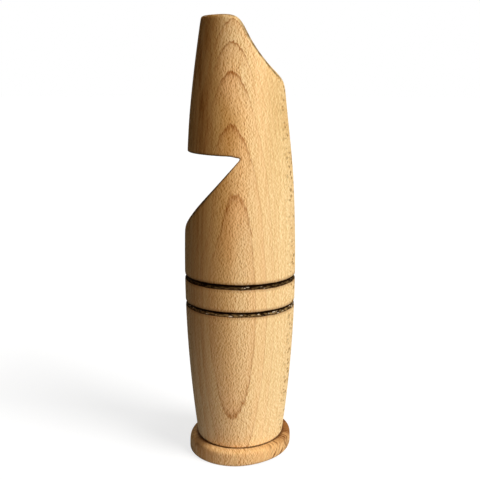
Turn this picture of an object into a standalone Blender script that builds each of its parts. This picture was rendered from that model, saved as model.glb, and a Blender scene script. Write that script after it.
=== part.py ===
"""Turned wooden whistle: a bored barrel with a fipple plug glued into its mouth end and a foot into the other.

Units are metres and +Z runs up the barrel's axis. The origin is the centre of the foot's underside, and the
window that makes the sound faces -X, so the beak for the lower lip is on the +X side.
"""

import math

import bmesh
import bpy
from mathutils import Vector

MM = 0.001

# Barrel: two parabolas that meet at the belly, bored right through
LENGTH = 98.5 * MM  # the whole whistle, from the underside of the foot to the mouth end
BELLY_RADIUS = 12.5 * MM
BELLY_HEIGHT = 43.0 * MM
MOUTH_RADIUS = 8.0 * MM
NECK_RADIUS = 9.8 * MM  # where the barrel stands on the foot
BORE_RADIUS = 5.0 * MM
MOUTH_ROUNDING = 0.6 * MM
NECK_ROUNDING = 0.5 * MM

# Foot: a rounded flange with a tenon that stops the bore
FOOT_RADIUS = 11.8 * MM
FOOT_HEIGHT = 3.6 * MM
FOOT_TOP_ROUNDING = 1.3 * MM
FOOT_UNDERSIDE_ROUNDING = 0.9 * MM
TENON_LENGTH = 8.0 * MM
TENON_CHAMFER = 0.6 * MM

# Window: a shelf sawn square to the axis and a ramp that rises to meet it
MOUTHPIECE_LENGTH = 28.9 * MM  # from the mouth end down to the shelf
WINDOW_DEPTH = 12.4 * MM  # from the barrel's surface at the shelf to the root of the cut
WINDOW_ROOT_RADIUS = 0.7 * MM
RAMP_ANGLE = math.radians(47.9)  # above the horizontal

# Windway: the flat on the plug, which narrows towards the window
WINDWAY_AT_MOUTH = 1.5 * MM
WINDWAY_AT_WINDOW = 0.9 * MM

# Beak: the hollow for the lower lip, sanded on a drum
BEAK_LENGTH = 13.6 * MM
BEAK_TIP = 8.3 * MM  # what is left of the mouth end, from the window side
BEAK_DRUM_RADIUS = 36.0 * MM

# Lines burnt round the belly with a wire
BURN_TOP_HEIGHT = 41.8 * MM
BURN_PITCH = 6.1 * MM
BURN_COUNT = 2
BURN_WIDTH = 1.0 * MM
BURN_DEPTH = 0.25 * MM

# Fits and fineness
GLUE_GAP = 0.2 * MM  # between the barrel and what is glued into it
CUT_MARGIN = 2.0 * MM  # how far a cutter reaches past what it cuts
SIDES = 64
BARREL_STEPS = 26
ARC_STEPS = 8
ROUNDING_STEPS = 4
SHARP_ANGLE = math.radians(35)  # edges that turn more than this stay crisp
MERGE_DISTANCE = 0.0001 * MM

# Places worked out from the sizes
SHELF_HEIGHT = LENGTH - MOUTHPIECE_LENGTH
BARREL_FOOT = FOOT_HEIGHT + GLUE_GAP
INSERT_RADIUS = BORE_RADIUS - GLUE_GAP
CUTTER_HALF_WIDTH = BELLY_RADIUS + CUT_MARGIN

# Finishes: colour, roughness
BEECH = ("beech", (0.72, 0.47, 0.23), 0.55)
BEECH_DOWEL = ("beech_dowel", (0.66, 0.42, 0.20), 0.6)
BEECH_FOOT = ("beech_foot", (0.60, 0.35, 0.15), 0.5)
BURNT = ("burnt_line", (0.02, 0.013, 0.008), 0.45)


def clear_scene():
    for old in list(bpy.data.objects):
        bpy.data.objects.remove(old, do_unlink=True)


def finish(name, colour, roughness):
    """A plain wood material."""
    material = bpy.data.materials.new(name)
    material.use_nodes = True
    shader = material.node_tree.nodes["Principled BSDF"]
    shader.inputs["Base Color"].default_value = (*colour, 1.0)
    shader.inputs["Roughness"].default_value = roughness
    shader.inputs["Metallic"].default_value = 0.0
    material.diffuse_color = (*colour, 1.0)
    return material


def object_from(name, bm, finishes=()):
    """Turns a bmesh into a named object in the scene."""
    mesh = bpy.data.meshes.new(name)
    bm.to_mesh(mesh)
    bm.free()
    for values in finishes:
        mesh.materials.append(finish(*values))
    obj = bpy.data.objects.new(name, mesh)
    bpy.context.scene.collection.objects.link(obj)
    return obj


def turned(name, outline, finishes, ring=False):
    """Spins an outline of (radius, height) points round the Z axis. A ring's outline closes on itself."""
    bm = bmesh.new()
    points = [bm.verts.new((radius, 0.0, height)) for radius, height in outline]
    edges = [bm.edges.new(pair) for pair in zip(points, points[1:])]
    if ring:
        edges.append(bm.edges.new((points[-1], points[0])))
    bmesh.ops.spin(
        bm, geom=points + edges, cent=(0, 0, 0), axis=(0, 0, 1), angle=math.tau, steps=SIDES, use_merge=True
    )
    bmesh.ops.remove_doubles(bm, verts=bm.verts, dist=MERGE_DISTANCE)
    bmesh.ops.recalc_face_normals(bm, faces=bm.faces)
    obj = object_from(name, bm, finishes)
    obj.data.shade_smooth()
    obj.data.set_sharp_from_angle(angle=SHARP_ANGLE)
    return obj


def cutter(name, outline):
    """A prism across the whistle along Y, from an outline of (x, z) points. It only shapes other pieces."""
    bm = bmesh.new()
    face = bm.faces.new([bm.verts.new((x, -CUTTER_HALF_WIDTH, z)) for x, z in outline])
    far_side = bmesh.ops.extrude_face_region(bm, geom=[face])
    moved = [part for part in far_side["geom"] if isinstance(part, bmesh.types.BMVert)]
    bmesh.ops.translate(bm, verts=moved, vec=(0, 2 * CUTTER_HALF_WIDTH, 0))
    bmesh.ops.recalc_face_normals(bm, faces=bm.faces)
    obj = object_from(name, bm)
    obj.hide_render = True
    obj.display_type = "WIRE"
    return obj


def cut(piece, tool):
    modifier = piece.modifiers.new(tool.name, "BOOLEAN")
    modifier.operation = "DIFFERENCE"
    modifier.object = tool


def arc(centre, radius, start, end, steps):
    """Points on an arc, given in degrees from the first axis, both ends included."""
    angles = [math.radians(start + (end - start) * step / steps) for step in range(steps + 1)]
    return [(centre[0] + radius * math.cos(a), centre[1] + radius * math.sin(a)) for a in angles]


def barrel_radius(height):
    """Radius of the turned barrel before anything is cut into it."""
    if height > BELLY_HEIGHT:
        share = (height - BELLY_HEIGHT) / (LENGTH - BELLY_HEIGHT)
        return BELLY_RADIUS - (BELLY_RADIUS - MOUTH_RADIUS) * share**2
    share = (BELLY_HEIGHT - height) / (BELLY_HEIGHT - FOOT_HEIGHT)
    return BELLY_RADIUS - (BELLY_RADIUS - NECK_RADIUS) * share**2


def burn_heights():
    return [BURN_TOP_HEIGHT - BURN_PITCH * line for line in range(BURN_COUNT)]


def barrel_outline():
    """The barrel's outside from the neck up to the mouth end, with the burnt grooves in it."""
    low = BARREL_FOOT + NECK_ROUNDING
    high = LENGTH - MOUTH_ROUNDING
    half = BURN_WIDTH / 2
    plain = [low + (high - low) * step / BARREL_STEPS for step in range(BARREL_STEPS + 1)]
    points = [
        (barrel_radius(z), z) for z in plain if all(abs(z - line) > BURN_WIDTH for line in burn_heights())
    ]
    for line in burn_heights():
        points += [(barrel_radius(line + side), line + side) for side in (-half, half)]
        points.append((barrel_radius(line) - BURN_DEPTH, line))
    points.sort(key=lambda point: point[1])
    neck = arc((barrel_radius(low) - NECK_ROUNDING, low), NECK_ROUNDING, -90, 0, ROUNDING_STEPS)
    mouth = arc((barrel_radius(high) - MOUTH_ROUNDING, high), MOUTH_ROUNDING, 0, 90, ROUNDING_STEPS)
    return neck[:-1] + points + mouth[1:]


def window_cutter():
    """The wedge sawn out of the barrel: the shelf above, the ramp below and a rounded root between them."""
    root_x = WINDOW_DEPTH - barrel_radius(SHELF_HEIGHT)
    centre = (root_x - WINDOW_ROOT_RADIUS, SHELF_HEIGHT - WINDOW_ROOT_RADIUS)
    ramp_degrees = math.degrees(RAMP_ANGLE)
    root = arc(centre, WINDOW_ROOT_RADIUS, 90, ramp_degrees - 90, ARC_STEPS)
    outside = -(BELLY_RADIUS + CUT_MARGIN)
    ramp_x, ramp_z = root[-1]
    ramp_foot = ramp_z - (ramp_x - outside) * math.tan(RAMP_ANGLE)
    return cutter("window_cutter", [(outside, SHELF_HEIGHT)] + root + [(outside, ramp_foot)])


def beak_cutter():
    """What the sanding drum takes off: everything outside an arc from the mouth end to the barrel's back."""
    tip = Vector((BEAK_TIP - MOUTH_RADIUS, LENGTH))
    heel_height = LENGTH - BEAK_LENGTH
    heel = Vector((barrel_radius(heel_height), heel_height))
    chord = heel - tip
    outward = Vector((-chord.y, chord.x)).normalized()
    rise = math.sqrt(BEAK_DRUM_RADIUS**2 - (chord.length / 2) ** 2)
    centre = (tip + heel) / 2 + outward * rise
    start = math.degrees(math.atan2(tip.y - centre.y, tip.x - centre.x))
    end = math.degrees(math.atan2(heel.y - centre.y, heel.x - centre.x))
    past = math.degrees(CUT_MARGIN / BEAK_DRUM_RADIUS)
    hollow = arc(centre, BEAK_DRUM_RADIUS, start - past, end + past, ARC_STEPS)
    outside = BELLY_RADIUS + CUT_MARGIN
    above = LENGTH + 2 * CUT_MARGIN
    return cutter("beak_cutter", hollow + [(outside, hollow[-1][1]), (outside, above), (hollow[0][0], above)])


def windway_cutter():
    """The sliver planed off the plug's window side, so that breath passes between plug and bore."""
    at_mouth = WINDWAY_AT_MOUTH - BORE_RADIUS
    at_window = WINDWAY_AT_WINDOW - BORE_RADIUS
    slope = (at_mouth - at_window) / MOUTHPIECE_LENGTH
    low = SHELF_HEIGHT - CUT_MARGIN
    high = LENGTH + CUT_MARGIN
    outside = -(BORE_RADIUS + CUT_MARGIN)
    flat = [(at_window - slope * CUT_MARGIN, low), (at_mouth + slope * CUT_MARGIN, high)]
    return cutter("windway_cutter", [(outside, low)] + flat + [(outside, high)])


def whistle_body(window, beak):
    """The barrel: turned and bored as one ring, then sawn for the window and sanded for the beak."""
    bore = [(BORE_RADIUS, LENGTH), (BORE_RADIUS, BARREL_FOOT)]
    barrel = turned("whistle_body", barrel_outline() + bore, [BEECH, BURNT], ring=True)
    for face in barrel.data.polygons:
        middle = face.center
        near_line = any(abs(middle.z - line) < BURN_WIDTH / 2 for line in burn_heights())
        face.material_index = int(near_line and middle.xy.length > BORE_RADIUS)
    cut(barrel, window)
    cut(barrel, beak)


def fipple_plug(windway, beak):
    """The dowel that fills the mouth end apart from the windway, trimmed to the beak with the barrel."""
    outline = [(0, SHELF_HEIGHT), (INSERT_RADIUS, SHELF_HEIGHT), (INSERT_RADIUS, LENGTH), (0, LENGTH)]
    plug = turned("fipple_plug", outline, [BEECH_DOWEL])
    cut(plug, windway)
    cut(plug, beak)


def foot_cap():
    """The flange that the whistle stands on, with the tenon that closes the bottom of the bore."""
    under = min(FOOT_UNDERSIDE_ROUNDING, FOOT_HEIGHT / 2)
    over = min(FOOT_TOP_ROUNDING, FOOT_HEIGHT / 2)
    low = arc((FOOT_RADIUS - under, under), under, -90, 0, ROUNDING_STEPS)
    high = arc((FOOT_RADIUS - over, FOOT_HEIGHT - over), over, 0, 90, ROUNDING_STEPS)
    tenon_top = FOOT_HEIGHT + TENON_LENGTH
    tenon = [
        (INSERT_RADIUS, FOOT_HEIGHT),
        (INSERT_RADIUS, tenon_top - TENON_CHAMFER),
        (INSERT_RADIUS - TENON_CHAMFER, tenon_top),
        (0, tenon_top),
    ]
    turned("foot_cap", [(0, 0)] + low + high + tenon, [BEECH_FOOT])


def main():
    clear_scene()
    window = window_cutter()
    beak = beak_cutter()
    whistle_body(window, beak)
    fipple_plug(windway_cutter(), beak)
    foot_cap()


main()
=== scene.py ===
# %% [markdown]
# # A turned wooden whistle
#
# This lesson dresses a small beech whistle in Blender. The packed solids say where everything is. Here the
# three pieces of wood, the barrel, the plug in its mouth and the foot it stands on, get softened edges,
# real grain and two lines burnt round the belly. Sizes are in millimetres until the very end, because that
# is how a turner thinks. X runs from the window's side to the beak's side, Y from the front to the back,
# and Z up.

import math

import bpy
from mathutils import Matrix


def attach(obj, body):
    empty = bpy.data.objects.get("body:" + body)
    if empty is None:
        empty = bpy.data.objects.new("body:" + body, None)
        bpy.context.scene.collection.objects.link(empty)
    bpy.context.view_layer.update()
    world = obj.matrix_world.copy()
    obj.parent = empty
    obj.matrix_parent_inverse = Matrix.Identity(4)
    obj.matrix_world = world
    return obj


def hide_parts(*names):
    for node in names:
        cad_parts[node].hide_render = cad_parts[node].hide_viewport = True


MM = 0.001

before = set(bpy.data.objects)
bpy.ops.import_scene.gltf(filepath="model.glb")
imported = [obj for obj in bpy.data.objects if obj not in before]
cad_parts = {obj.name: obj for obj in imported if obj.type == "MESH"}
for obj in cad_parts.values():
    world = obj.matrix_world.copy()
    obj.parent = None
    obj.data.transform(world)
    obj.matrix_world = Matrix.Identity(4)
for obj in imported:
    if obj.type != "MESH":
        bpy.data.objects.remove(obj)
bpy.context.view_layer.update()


print("solids:", sorted(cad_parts))

# %% [markdown]
# ## Camera
#
# The photograph was taken from about a hand's length away, from just below the height of the mouth end and
# looking a little down. The camera stands a few degrees to the right of the front, so the ramp and the beak
# are seen almost edge on. Close up, what is farther away shrinks quickly, and only a camera at the same
# distance narrows the foot as much. Blender's camera looks along its own -Z, so turning it by a right angle
# about X makes it look level.

# %% Camera
CAMERA_DISTANCE = 177.03
CAMERA_HEIGHT = 86.08
CAMERA_AZIMUTH = math.radians(4.2)
CAMERA_PITCH = math.radians(11.63)
LENS = 59.97
SENSOR = 36.0


def put_in_scene(name, data):
    """A new object in the scene, for a camera, a mesh or a lamp."""
    thing = bpy.data.objects.new(name, data)
    bpy.context.scene.collection.objects.link(thing)
    return thing


camera_data = bpy.data.cameras.new("camera")
camera_data.lens = LENS
camera_data.sensor_width = SENSOR
camera_data.clip_start = MM
camera = put_in_scene("camera", camera_data)
camera.location = (
    CAMERA_DISTANCE * math.sin(CAMERA_AZIMUTH) * MM,
    -CAMERA_DISTANCE * math.cos(CAMERA_AZIMUTH) * MM,
    CAMERA_HEIGHT * MM,
)
camera.rotation_euler = (math.pi / 2 - CAMERA_PITCH, 0, CAMERA_AZIMUTH)
bpy.context.scene.camera = camera
print("camera at, mm:", [round(part / MM, 1) for part in camera.location])

# %% [markdown]
# ## Wires
#
# Both the shapes and the finishes below are sums worked out by nodes. Adding each Math node by hand makes a
# script that nobody can read, so a small class stands for one output of a node. Writing `a + b` with two
# such wires adds the node that sums them, and a plain number is simply typed into the socket. A ramp is the
# tool that is used most. Its four numbers are where it starts, where it ends, and its values before and
# after. With only two numbers it rises from 0 to 1, and a fade falls from 1 to 0.


# %% Wires
def plug_in(socket, value):
    """Links a wire to a socket, or types a plain value into it."""
    if isinstance(value, Wire):
        value.tree.links.new(value.socket, socket)
    else:
        socket.default_value = value


def add_node(tree, kind, *inputs, settings=(), **named):
    """Adds a node, sets it up and fills its inputs by order or by name. Returns its first output."""
    node = tree.nodes.new(kind)
    for setting, value in dict(settings).items():
        setattr(node, setting, value)
    for socket, value in zip(node.inputs, inputs):
        plug_in(socket, value)
    for name, value in named.items():
        plug_in(node.inputs[name], value)
    return Wire(node.outputs[0])


class Wire:
    """One output of a node, which can be added, multiplied and compared as a number can."""

    def __init__(self, socket):
        self.socket = socket
        self.tree = socket.id_data

    def math(self, operation, *others, first=None):
        """One Math node, with this wire before the others, or after the one that is given as first."""
        values = (self, *others) if first is None else (first, self)
        return add_node(self.tree, "ShaderNodeMath", *values, settings={"operation": operation})

    def __add__(self, other):
        return self.math("ADD", other)

    def __radd__(self, other):
        return self.math("ADD", first=other)

    def __sub__(self, other):
        return self.math("SUBTRACT", other)

    def __rsub__(self, other):
        return self.math("SUBTRACT", first=other)

    def __mul__(self, other):
        return self.math("MULTIPLY", other)

    def __truediv__(self, other):
        return self.math("DIVIDE", other)

    def __neg__(self):
        return self.math("MULTIPLY", -1.0)

    def largest(self, other, soft=0.0):
        """The larger of two values. A softness rounds the change from one to the other."""
        return self.math("SMOOTH_MAX", other, soft) if soft else self.math("MAXIMUM", other)

    def smallest(self, other, soft=0.0):
        """The smaller of two values, with the same kind of softness."""
        return self.math("SMOOTH_MIN", other, soft) if soft else self.math("MINIMUM", other)

    def ramp(self, start, end, low=0.0, high=1.0, smooth=True):
        """Runs from low to high while this wire runs from start to end, and stays there outside them."""
        style = {"interpolation_type": "SMOOTHSTEP" if smooth else "LINEAR"}
        return add_node(self.tree, "ShaderNodeMapRange", self, start, end, low, high, settings=style)

    def fade(self, start, end):
        """Falls from 1 to 0 while this wire runs from start to end."""
        return self.ramp(start, end, 1.0, 0.0)

    def band(self, start, full, last, end):
        """1 between full and last, and 0 before start and after end."""
        return self.ramp(start, full) * self.fade(last, end)

    def sibling(self, name):
        """Another output of the same node."""
        return Wire(self.socket.node.outputs[name])

    def parts(self):
        """The three numbers of a vector."""
        whole = add_node(self.tree, "ShaderNodeSeparateXYZ", self)
        return tuple(whole.sibling(axis) for axis in "XYZ")


print("wires can", ", ".join(name for name in vars(Wire) if not name.startswith("_")))

# %% [markdown]
# ## From a rule to a mesh
#
# Each piece follows a rule that says how far a point lies outside the wood: below zero is wood, above zero
# is air. A lathe form, a saw cut and a drilled hole are each one short sum, and taking the largest of them
# leaves only the wood that all the tools have left. A soft largest rounds the edge between two cuts, as
# sandpaper does. Boolean cutters with a Bevel would do for the crisp solids, but a bevel breaks on the
# slivers of such cuts. Here Volume Cube fills a box with the rule, Volume to Mesh skins it, and a few small
# moves along the normal bring every point onto the exact surface.

# %% From a rule to a mesh
SKIN_MOVES = 3
AIR = -1.0


def skin_rule(outside, box, step):
    """A mesh round all that the rule calls wood, looked for inside a box in steps of a given size."""
    tree = outside.tree
    low, high = box
    filling = {"Density": -outside, "Background": AIR, "Min": low, "Max": high}
    for axis, bottom, top, size in zip("XYZ", low, high, step):
        filling["Resolution " + axis] = round((top - bottom) / size)
    made = add_node(tree, "GeometryNodeVolumeCube", **filling)
    made = add_node(tree, "GeometryNodeVolumeToMesh", Volume=made, Threshold=0.0, Adaptivity=0.0)
    normal = add_node(tree, "GeometryNodeInputNormal")
    move = add_node(tree, "ShaderNodeVectorMath", normal, settings={"operation": "SCALE"}, Scale=-outside)
    for _ in range(SKIN_MOVES):
        made = add_node(tree, "GeometryNodeSetPosition", Geometry=made, Offset=move)
    return made


print("each rule is skinned, then moved onto its surface", SKIN_MOVES, "times")

# %% [markdown]
# ## From a mesh to a piece
#
# A tree of nodes is only a recipe. It starts with a named input for each size, and it ends with the wood's
# material on a real mesh in metres. The recipe runs once on an empty object, and what comes out is kept as
# a plain mesh, because a finished piece should not need its modifier any more.


# %% From a mesh to a piece
def start_tree(name, sizes):
    """An empty tree with one named number for each size. Returns the tree and the sizes as wires."""
    tree = bpy.data.node_groups.new(name, "GeometryNodeTree")
    for size, value in sizes.items():
        socket = tree.interface.new_socket(size, in_out="INPUT", socket_type="NodeSocketFloat")
        socket.default_value = value
    tree.interface.new_socket("Wood", in_out="INPUT", socket_type="NodeSocketMaterial")
    tree.interface.new_socket("Piece", in_out="OUTPUT", socket_type="NodeSocketGeometry")
    entry = tree.nodes.new("NodeGroupInput")
    return tree, {size: Wire(entry.outputs[size]) for size in sizes}, Wire(entry.outputs["Wood"])


def finish_tree(made, wood, **marks):
    """Keeps some numbers for the finish, turns millimetres into metres and ends the tree."""
    tree = made.tree
    for mark, value in marks.items():
        made = add_node(tree, "GeometryNodeStoreNamedAttribute", Geometry=made, Name=mark, Value=value)
    made = add_node(tree, "GeometryNodeSetShadeSmooth", Geometry=made)
    made = add_node(tree, "GeometryNodeTransform", Geometry=made, Scale=(MM, MM, MM))
    made = add_node(tree, "GeometryNodeRealizeInstances", Geometry=made)
    made = add_node(tree, "GeometryNodeSetMaterial", Geometry=made, Material=wood)
    plug_in(tree.nodes.new("NodeGroupOutput").inputs["Piece"], made)
    print(tree.name, "has", len(tree.nodes), "nodes")


def make_piece(name, tree, sizes, wood):
    """Runs the tree on an empty mesh and keeps what comes out as a plain mesh object."""
    piece = put_in_scene(name, bpy.data.meshes.new(name + "_empty"))
    modifier = piece.modifiers.new("rule", "NODES")
    modifier.node_group = tree
    for socket in tree.interface.items_tree:
        if socket.in_out == "INPUT":
            modifier[socket.identifier] = sizes.get(socket.name, wood)
    ready = piece.evaluated_get(bpy.context.evaluated_depsgraph_get())
    mesh = bpy.data.meshes.new_from_object(ready)
    mesh.name = name
    piece.modifiers.clear()
    piece.data = mesh
    print(name, "has", len(mesh.polygons), "faces")
    return piece


print("recipes so far:", len(bpy.data.node_groups))

# %% [markdown]
# ## Sizes of the barrel
#
# The outside is two curves that meet at the belly, with two lines burnt round it. The window is a sawn
# shelf with a ramp rising to it, and the beak on the other side was hollowed on a sanding drum. These are
# the sizes of the solids, so the new pieces land where the old ones are.

# %% Sizes of the barrel
LENGTH = 98.5
FOOT_HEIGHT = 3.6
SHELF_HEIGHT = 69.6
BORE_RADIUS = 5.0
GLUE_GAP = 0.2
BURN_TOP = 41.8
BURN_PITCH = 6.1

BARREL = {
    "Length": LENGTH,
    "Belly radius": 12.5,
    "Belly height": 43.0,
    "Mouth radius": 8.0,
    "Neck radius": 9.8,
    "Foot height": FOOT_HEIGHT,
    "Bore radius": BORE_RADIUS,
    "Glue line": 0.08,  # what shows of the glue under the barrel
    "Shelf height": SHELF_HEIGHT,
    "Burn top height": BURN_TOP,
    "Burn pitch": BURN_PITCH,
    "Burn half width": 0.7,
    "Burn depth": 0.3,
}
print("barrel has", len(BARREL), "sizes")

# %% [markdown]
# ## The lathe form
#
# A turner spins the blank and cuts a curve along it, so the skin is the distance from the axis less the
# radius at that height. Hand work wanders: near the mouth the barrel goes over to the window's side, and
# moving x by a ramp of the height bends it. A wire held against the spinning wood burnt the two lines in,
# and a dent in the radius makes each groove. A profile curve spun round the axis would give the same skin,
# but the cuts below need the rule.

# %% The lathe form
BEND = (62.0, 80.0, 0.0, 0.33)  # between these two heights the barrel goes over by this much


def cylinder_parts(tree):
    """x, y and height of the point that the rule is asked about, and its distance from the axis."""
    x, y, height = add_node(tree, "GeometryNodeInputPosition").parts()
    x = x + height.ramp(*BEND)
    return x, y, height, (x * x + y * y).math("SQRT")


def lathe_rule(size, height, out):
    """The turned skin: two parabolas that meet at the belly, with the burnt grooves in it."""
    belly = size["Belly height"]
    above = ((height - belly) / (size["Length"] - belly)).largest(0.0)
    below = ((belly - height) / (belly - size["Foot height"])).largest(0.0)
    radius = size["Belly radius"] - (size["Belly radius"] - size["Mouth radius"]) * above * above
    radius = radius - (size["Belly radius"] - size["Neck radius"]) * below * below
    for line in range(2):
        line_height = size["Burn top height"] - size["Burn pitch"] * line
        from_line = (height - line_height) / size["Burn half width"]
        dent = (1.0 - from_line * from_line).largest(0.0)
        radius = radius - size["Burn depth"] * dent * dent
    return out - radius


print("the mouth end goes over by", BEND[3], "mm")

# %% [markdown]
# ## The beak
#
# Lips close better on a thin edge, so the side away from the window was hollowed on a sanding drum. A drum
# is a cylinder, and its rule is the distance from its axis. The axis follows from the drum's radius and
# from the places of the beak's tip and heel. The whistle was not held quite square to the drum, so the beak
# is turned.

# %% The beak
DRUM_RADIUS = 30.0
BEAK_TIP = (0.55, LENGTH)  # x and height
BEAK_HEEL = (9.93, 85.25)
BEAK_TURN = math.radians(2.2)
TIP_SOFTNESS = 4.2


def find_drum():
    """x and height of the drum's axis: its arc passes through the beak's tip and heel."""
    chord = (BEAK_HEEL[0] - BEAK_TIP[0], BEAK_HEEL[1] - BEAK_TIP[1])
    length = math.hypot(*chord)
    rise = math.sqrt(DRUM_RADIUS**2 - (length / 2) ** 2)
    middle = ((BEAK_TIP[0] + BEAK_HEEL[0]) / 2, (BEAK_TIP[1] + BEAK_HEEL[1]) / 2)
    return (middle[0] - chord[1] / length * rise, middle[1] + chord[0] / length * rise)


DRUM_AXIS = find_drum()


def mouth_rule(size, x, y, height):
    """Above zero past the mouth's end, and inside the drum where the beak was sanded away."""
    across = x * math.cos(BEAK_TURN) + y * math.sin(BEAK_TURN) - DRUM_AXIS[0]
    up = height - DRUM_AXIS[1]
    beak = DRUM_RADIUS - (across * across + up * up).math("SQRT")
    return (height - size["Length"]).largest(beak, TIP_SOFTNESS)


print("drum's axis at x and height, mm:", [round(part, 2) for part in DRUM_AXIS])

# %% [markdown]
# ## The window
#
# The window splits the breath and makes the sound. A saw cut the shelf and a file the ramp, both by hand.
# The saw sank towards the root, and faster just before it. The file was held out of square and rolled over
# the ramp's foot. The wedge between the two cuts is the smallest of two distances, and a soft smallest
# blunts the root as the width of a saw blade does.

# %% The window
RAMP_ANGLE = math.radians(47.6)
RAMP_POINT = (0.753, 68.38)  # x and height where the ramp meets the rounded root
RAMP_SKEW = 0.03
RAMP_ROLL_START = -7.5  # x below which the file rolled over
RAMP_ROLL = 0.024
ROOT_SOFTNESS = 0.9
SHELF_SLOPE = 0.02
SHELF_PIVOT = -5.0  # x where the shelf is as high as in the solids
SHELF_DIP = (-1.3, 0.4, 0.0, 0.26)  # between these two x the saw sank by this much more


def window_rule(size, x, y, height):
    """Above zero in the wedge between the shelf and the ramp."""
    across = x - y * RAMP_SKEW - RAMP_POINT[0]
    above_ramp = (height - RAMP_POINT[1]) * math.cos(RAMP_ANGLE) - across * math.sin(RAMP_ANGLE)
    rolled = (RAMP_ROLL_START - x).largest(0.0)
    above_ramp = above_ramp + rolled * rolled * RAMP_ROLL
    shelf = size["Shelf height"] - (x - SHELF_PIVOT) * SHELF_SLOPE - x.ramp(*SHELF_DIP)
    return (shelf - height).smallest(above_ramp, ROOT_SOFTNESS)


print("ramp rises at", round(math.degrees(RAMP_ANGLE), 1), "degrees")

# %% [markdown]
# ## The barrel
#
# The skin, the mouth, the window, the bore and the end over the foot come together in soft largests. Each
# edge has its own softness: a folded piece of sandpaper went over the beak's heel and the ramp's foot,
# while the shelf stayed nearly as the saw left it. The foot was faced off a little askew, so the barrel's
# lower end is askew too. One number goes along for the finish: "cut" is below zero on the turned skin and
# above zero on a sawn, sanded or drilled face, in millimetres from the edge between them.

# %% The barrel
MOUTH_SOFTNESS = (5.5, 9.0, 1.0, 2.2)  # by x, at the lips and at the beak's heel
WINDOW_SOFTNESS = (54.0, 66.0, 1.5, 0.5)  # by height, at the ramp's foot and at the shelf
NECK_SOFTNESS = 0.35
BORE_SOFTNESS = 0.25
FLANGE_TILT = (0.028, 0.045)  # how fast the foot's top face rises to the beak's side and to the back
FLANGE_PIVOT = -9.8  # y where it is as high as in the solids
BARREL_BOX = ((-13.2, -13.2, 3.2), (13.2, 13.2, 99.2))
BARREL_STEP = (0.38, 0.38, 0.34)


def askew(x, y):
    """How much higher than at the front the foot's top face is."""
    return x * FLANGE_TILT[0] + (y - FLANGE_PIVOT) * FLANGE_TILT[1]


barrel_tree, size, wood = start_tree("barrel_shape", BARREL)
x, y, height, out = cylinder_parts(barrel_tree)
skin = lathe_rule(size, height, out)
mouth = mouth_rule(size, x, y, height)
window = window_rule(size, x, y, height)
neck_end = size["Foot height"] + size["Glue line"] + askew(x, y) - height
bore = size["Bore radius"] - out
outside = skin.largest(mouth, x.ramp(*MOUTH_SOFTNESS))
outside = outside.largest(window, height.ramp(*WINDOW_SOFTNESS))
outside = outside.largest(neck_end, NECK_SOFTNESS).largest(bore, BORE_SOFTNESS)
cuts = mouth.largest(window).largest(neck_end).largest(bore)
finish_tree(skin_rule(outside, BARREL_BOX, BARREL_STEP), wood, cut=cuts - skin)

# %% [markdown]
# ## The plug
#
# The plug is a dowel glued into the mouth end. A flat planed along its window side leaves the slot that the
# breath goes through, which narrows towards the window. It was sanded to the beak together with the barrel,
# so it takes the same drum.

# %% The plug
PLUG = {
    "Length": LENGTH,
    "Dowel radius": BORE_RADIUS - GLUE_GAP,
    "Shelf height": SHELF_HEIGHT,
    "Slot at mouth": 1.5,
    "Slot at window": 0.9,
    "Bore radius": BORE_RADIUS,
}
PLUG_SOFTNESS = 0.35
PLUG_BOX = ((-5.4, -5.4, 69.0), (5.4, 5.4, 99.2))
PLUG_STEP = (0.24, 0.24, 0.3)

plug_tree, size, wood = start_tree("plug_shape", PLUG)
x, y, height, out = cylinder_parts(plug_tree)
dowel = out - size["Dowel radius"]
share = (height - size["Shelf height"]) / (size["Length"] - size["Shelf height"])
slot = size["Slot at window"] + (size["Slot at mouth"] - size["Slot at window"]) * share
flat = slot - size["Bore radius"] - x
ends = mouth_rule(size, x, y, height).largest(size["Shelf height"] - height)
outside = dowel.largest(flat, PLUG_SOFTNESS).largest(ends, PLUG_SOFTNESS)
finish_tree(skin_rule(outside, PLUG_BOX, PLUG_STEP), wood)

# %% [markdown]
# ## The foot
#
# The foot is a flange with a well rounded top and a smaller rounding below, and a tenon that stops the
# bore. It is a lathe form too, so the same kind of rule makes it. Its roundings were sanded freehand and
# are not the same all round, and the underside was sanded away on the beak's side. The tenon is inside the
# barrel, where it shows only through the window.

# %% The foot
FOOT = {
    "Flange radius": 11.8,
    "Flange height": FOOT_HEIGHT,
    "Tenon radius": BORE_RADIUS - GLUE_GAP,
    "Tenon top": 11.6,
}
FLANGE_TOP_SOFTNESS = (-10.0, -4.0, 2.8, 1.5)  # by x, at the window's side and beyond it
UNDERSIDE_SOFTNESS = (-8.0, 8.0, 0.35, 1.9)  # by x, at the window's side and at the beak's side
UNDERSIDE_SLOPE = 0.05  # how fast it rises off the table towards the beak's side
UNDERSIDE_BLEND = 0.2
TENON_START = 1.0
TENON_SOFTNESS = 0.8
TENON_ROOT_SOFTNESS = 0.2
FOOT_BOX = ((-12.5, -12.5, -0.6), (12.5, 12.5, 12.6))
FOOT_STEP = (0.32, 0.32, 0.24)

foot_tree, size, wood = start_tree("foot_shape", FOOT)
x, y, height, out = cylinder_parts(foot_tree)
side = out - size["Flange radius"]
flange_top = height - size["Flange height"] - askew(x, y)
underside = (x * UNDERSIDE_SLOPE).largest(0.0, UNDERSIDE_BLEND) - height
flange = side.largest(flange_top, x.ramp(*FLANGE_TOP_SOFTNESS))
flange = flange.largest(underside, x.ramp(*UNDERSIDE_SOFTNESS))
tenon = (out - size["Tenon radius"]).largest(height - size["Tenon top"], TENON_SOFTNESS)
outside = flange.smallest(tenon.largest(TENON_START - height), TENON_ROOT_SOFTNESS)
finish_tree(skin_rule(outside, FOOT_BOX, FOOT_STEP), wood)

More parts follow.
